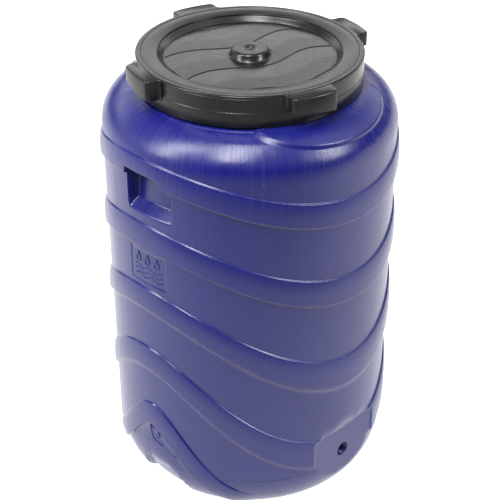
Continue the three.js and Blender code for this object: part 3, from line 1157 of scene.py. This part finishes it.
def black_finish(name, scratch_amount, roughness, specular=0.5):
    """Black satin plastic with fine scratches, scuffs and a little dust."""
    finish = Finish(name)
    source, _ = finish.position()
    grain = finish.noise(source, 900, 2)
    scuff = finish.noise(source, 22, 5, 0.65)
    stretched = finish.node("ShaderNodeMapping")
    stretched.inputs["Scale"].default_value = (6, 90, 40)
    stretched.inputs["Rotation"].default_value = (0, 0, 0.6)
    finish.wire(source, stretched.inputs["Vector"])
    scratches = finish.noise(stretched.outputs[0], 9, 5, 0.75)
    dust = finish.noise(source, 420, 2)
    colour = finish.blend(finish.spread(scuff, 0.4, 0.7, 0, 1), LID_BLACK, LID_GREY)
    colour = finish.blend(finish.spread(scratches, 0.68, 0.82, 0, scratch_amount), colour, DUST)
    colour = finish.blend(finish.spread(dust, 0.74, 0.80, 0, 0.4), colour, DUST)
    finish.feed("Base Color", colour)
    satin = finish.spread(scuff, 0.3, 0.7, *roughness)
    uneven = finish.spread(grain, 0.3, 0.7, -0.03, 0.03)
    finish.feed("Roughness", finish.math("ADD", satin, uneven))
    finish.shader.inputs["IOR"].default_value = 1.45
    finish.shader.inputs["Specular IOR Level"].default_value = specular
    fine = finish.bump(grain, 0.00003)
    finish.feed("Normal", finish.bump(scratches, 0.00010, under=fine))
    return finish.material


def rubber_finish():
    """Matt black rubber with a fine grain."""
    finish = Finish("gasket_rubber")
    source, _ = finish.position()
    grain = finish.noise(source, 600, 3)
    colour = finish.blend(grain, (0.012, 0.012, 0.012), (0.030, 0.030, 0.030))
    finish.feed("Base Color", colour)
    finish.feed("Roughness", finish.spread(grain, 0.3, 0.7, 0.6, 0.75))
    finish.feed("Normal", finish.bump(grain, 0.0001))
    return finish.material


# ---- floor, world and lights ----------------------------------------------------------------

# The floor's painted glow near the barrel and at its front edge, and where it fades, in metres.
FLOOR_GLOW = (1.45, 0.35)
FLOOR_FADE = (0.45, 1.5)
# Radii between which that glow rises from nearly nothing, under the barrel, in metres: a painted contact
# shadow.
FLOOR_PAINTED_SHADOW = (0.170, 0.208)
# Soft glows of the studio round the object: turn from -Y towards +X, half width, lowest and
# highest elevation, all in degrees, and strength.
GLOWS = [
    (135.5, 55, 14, 27, 2.5),
    (135.5, 55, 27, 38, 0.35),
    (135.5, 55, 38, 52, 0.2),
    (-134.5, 35, -2, 25, 1.0),
    (-134.5, 35, 25, 65, 0.2),
    (45.5, 35, 25, 65, 1.3),
    (-44.5, 55, 25, 65, 0.35),
    (0, 200, 62, 95, 0.5),
]
GLOW_EDGE = 8.0


def make_floor():
    """A pale floor that glows softly towards the front as painted light, with a painted shadow under the
    barrel.
    """
    bpy.ops.mesh.primitive_plane_add(size=30, location=(0, 0, -0.0005))
    floor = bpy.context.object
    floor.name = "floor"
    finish = Finish("pale_floor")
    source, _ = finish.position()
    tone = finish.blend(finish.noise(source, 3), (0.16, 0.16, 0.16), (0.20, 0.20, 0.20))
    finish.feed("Base Color", tone)
    finish.shader.inputs["Roughness"].default_value = 0.9
    finish.shader.inputs["Specular IOR Level"].default_value = 0.0
    finish.shader.inputs["Emission Color"].default_value = (1, 1, 1, 1)
    _, (x, y, _) = finish.position()
    turn = math.radians(CAMERA_AZIMUTH)
    forward_x = finish.math("MULTIPLY", x, math.sin(turn))
    forward_y = finish.math("MULTIPLY", y, -math.cos(turn))
    forward = finish.math("ADD", forward_x, forward_y)
    # Painted light: the floor's glow, strongest near the barrel and fading towards the front edge.
    glow = finish.spread(forward, *FLOOR_FADE, *FLOOR_GLOW)
    radius, _, _ = finish.polar()
    # Painted contact shadow: the glow falls to nearly nothing under the barrel.
    glow = finish.math("MULTIPLY", glow, finish.spread(radius, *FLOOR_PAINTED_SHADOW, 0.06, 1.0))
    finish.feed("Emission Strength", glow)
    floor.data.materials.append(finish.material)


def make_world():
    """White for the camera; for the object, a dark studio with soft glows round it."""
    world = bpy.data.worlds.new("studio")
    bpy.context.scene.world = world
    world.use_nodes = True
    tree = world.node_tree
    tree.nodes.clear()

    def math_node(operation, *values):
        made = tree.nodes.new("ShaderNodeMath")
        made.operation = operation
        for socket, value in zip(made.inputs, values):
            if isinstance(value, (int, float)):
                socket.default_value = value
            else:
                tree.links.new(value, socket)
        return made.outputs[0]

    def rise(value, low, high):
        made = tree.nodes.new("ShaderNodeMapRange")
        made.interpolation_type = "SMOOTHSTEP"
        made.inputs["From Min"].default_value = low
        made.inputs["From Max"].default_value = high
        tree.links.new(value, made.inputs["Value"])
        return made.outputs["Result"]

    coords = tree.nodes.new("ShaderNodeTexCoord")
    split = tree.nodes.new("ShaderNodeSeparateXYZ")
    tree.links.new(coords.outputs["Generated"], split.inputs[0])
    x, y, z = split.outputs
    elevation = math_node("MULTIPLY", math_node("ARCSINE", z), math.degrees(1))
    turn = math_node("MULTIPLY", math_node("ARCTAN2", x, math_node("MULTIPLY", y, -1.0)), math.degrees(1))
    total = None
    for middle, half, low, high, strength in GLOWS:
        past = math_node("WRAP", math_node("SUBTRACT", turn, middle), 180.0, -180.0)
        away = math_node("ABSOLUTE", past)
        glow = math_node("SUBTRACT", 1.0, rise(away, half - 2 * GLOW_EDGE, half + 2 * GLOW_EDGE))
        glow = math_node("MULTIPLY", glow, rise(elevation, low - GLOW_EDGE / 2, low + GLOW_EDGE / 2))
        fall = math_node("SUBTRACT", 1.0, rise(elevation, high - GLOW_EDGE / 2, high + GLOW_EDGE / 2))
        glow = math_node("MULTIPLY", math_node("MULTIPLY", glow, fall), strength)
        total = glow if total is None else math_node("ADD", total, glow)
    light = tree.nodes.new("ShaderNodeBackground")
    light.inputs["Color"].default_value = (1, 1, 1, 1)
    tree.links.new(total, light.inputs["Strength"])
    seen = tree.nodes.new("ShaderNodeBackground")
    seen.inputs["Color"].default_value = (1, 1, 1, 1)
    paths = tree.nodes.new("ShaderNodeLightPath")
    mix = tree.nodes.new("ShaderNodeMixShader")
    tree.links.new(paths.outputs["Is Camera Ray"], mix.inputs[0])
    tree.links.new(light.outputs[0], mix.inputs[1])
    tree.links.new(seen.outputs[0], mix.inputs[2])
    out = tree.nodes.new("ShaderNodeOutputWorld")
    tree.links.new(mix.outputs[0], out.inputs[0])


# Softboxes over the barrel: turn from -Y towards +X, elevation, width, height and power.
SOFTBOXES = {
    "left_softbox": (-112, 39, 0.5, 2.2, 62),
    "top_softbox": (-63, 61, 0.65, 1.9, 72),
    "right_softbox": (21, 27, 0.45, 1.1, 32),
}
SOFTBOX_AIM = Vector((0, 0, 0.73))
SOFTBOX_DISTANCE = 2.4


def direction(turn, elevation):
    """Unit vector at a turn from -Y towards +X and an elevation, both in degrees."""
    turn = math.radians(turn)
    elevation = math.radians(elevation)
    flat = math.cos(elevation)
    return Vector((math.sin(turn) * flat, -math.cos(turn) * flat, math.sin(elevation)))


def make_softboxes():
    """Rectangular area lights that face the top of the barrel."""
    for name, (turn, elevation, width, height, power) in SOFTBOXES.items():
        back = direction(turn, elevation)
        data = bpy.data.lights.new(name, "AREA")
        data.shape = "RECTANGLE"
        data.size = width
        data.size_y = height
        data.energy = power
        lamp = bpy.data.objects.new(name, data)
        bpy.context.scene.collection.objects.link(lamp)
        lamp.location = SOFTBOX_AIM + back * SOFTBOX_DISTANCE
        lamp.rotation_euler = back.to_track_quat("Z", "Y").to_euler()


# ---- camera ------------------------------------------------------------------------------

CAMERA_AZIMUTH = -44.5
CAMERA_ELEVATION = 32.26
CAMERA_DISTANCE = 2.2145
CAMERA_AIM = 0.404
CAMERA_LENS = 90.4


def make_camera():
    """The camera, aimed at the barrel's axis."""
    back = direction(CAMERA_AZIMUTH, CAMERA_ELEVATION)
    data = bpy.data.cameras.new("camera")
    data.sensor_width = 36
    data.lens = CAMERA_LENS
    camera = bpy.data.objects.new("camera", data)
    bpy.context.scene.collection.objects.link(camera)
    camera.location = Vector((0, 0, CAMERA_AIM)) + back * CAMERA_DISTANCE
    camera.rotation_euler = (-back).to_track_quat("-Z", "Y").to_euler()
    bpy.context.scene.camera = camera


def build_barrel(material):
    shell = barrel_mesh()
    drill_tap_hole(shell)
    smooth_by_angle(shell, 75)
    place(shell, "barrel", "barrel_plastic", material, "barrel_body")
    place(tap_thread(), "barrel", "barrel_plastic", material)
    place(moulded_marks(), "barrel", "barrel_plastic", material)


def build_lid(ring_material, lid_material, gasket_material):
    place(screw_ring(), "ring", "ring_plastic", ring_material, "screw_ring")
    disc = disc_mesh()
    smooth_by_angle(disc, 40)
    place(disc, "lid", "lid_plastic", lid_material, "lid_disc")
    place(gasket_mesh(), "lid", "gasket_rubber", gasket_material, "gasket")


make_camera()
build_barrel(barrel_finish())
build_lid(
    black_finish("ring_black", 0.5, (0.17, 0.25), 0.39),
    black_finish("lid_black", 0.6, (0.20, 0.29), 0.47),
    rubber_finish(),
)
make_floor()
make_world()
make_softboxes()
bpy.context.scene.view_settings.view_transform = "Standard"
